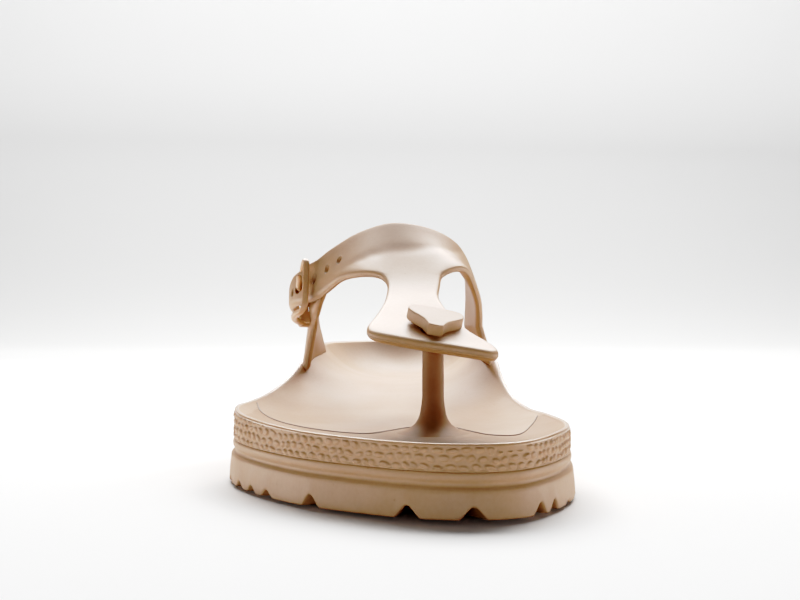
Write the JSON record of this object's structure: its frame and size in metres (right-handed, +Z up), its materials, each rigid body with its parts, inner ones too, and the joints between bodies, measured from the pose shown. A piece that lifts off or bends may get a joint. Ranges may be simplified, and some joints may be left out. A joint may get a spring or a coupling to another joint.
{
  "type": "toe post sandal",
  "caption": "Right-foot toe post sandal in moulded foam: contoured footbed with heel cup, lugged tread, T-shaped strap held on the post by a stud head, and a side buckle.",
  "frame": {"origin": "middle of the sole's outline, on the floor", "axes": "+Z up, toe towards -Y, inner (medial) side of the right shoe towards +X"},
  "size_m": [0.1008, 0.255, 0.0809],
  "materials": {
    "sole_foam": "matte nude foam, finely grained",
    "footbed_foam": "matte nude foam with a hammered side band",
    "strap_foam": "satin nude foam",
    "buckle_plastic": "satin, coloured like the foam"
  },
  "bodies": {
    "root": {"outsole": "sole_foam", "footbed": "footbed_foam", "upper": "strap_foam", "lateral_tab": "strap_foam", "buckle_frame": "buckle_plastic", "buckle_prong": "buckle_plastic"}
  },
  "joints": []
}
